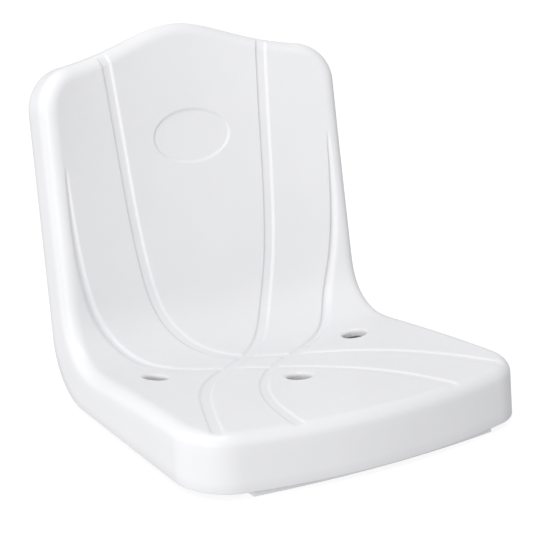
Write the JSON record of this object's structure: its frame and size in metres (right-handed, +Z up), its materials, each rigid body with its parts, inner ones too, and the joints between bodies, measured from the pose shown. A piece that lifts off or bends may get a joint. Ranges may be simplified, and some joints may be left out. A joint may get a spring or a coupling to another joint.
{
  "type": "moulded bucket seat",
  "caption": "Legless white moulded plastic bucket seat with a humped back, deep skirt and fixing holes in the pan, for bolting to a terrace step, bench or beam.",
  "frame": {"origin": "middle of the bounding box's underside: the plane that the two rails and the bolt pads stand on", "axes": "+X to the right seen from the front, -Y to the front edge of the pan, +Z up"},
  "size_m": [0.427, 0.4473, 0.4108],
  "materials": {
    "shell": "satin moulded polypropylene with a fine grain",
    "rear": "satin moulded polypropylene",
    "plate": "satin, blank",
    "bush": "moulded, grey",
    "screw": "zinc plated"
  },
  "bodies": {
    "root": {"seat_shell": "shell", "rear_shell": "rear", "number_plate": "plate", "bolt_bush_left": "bush", "bolt_bush_right": "bush", "bolt_bush_front": "bush", "base_screws": "screw", "back_screws": "screw"}
  },
  "joints": []
}
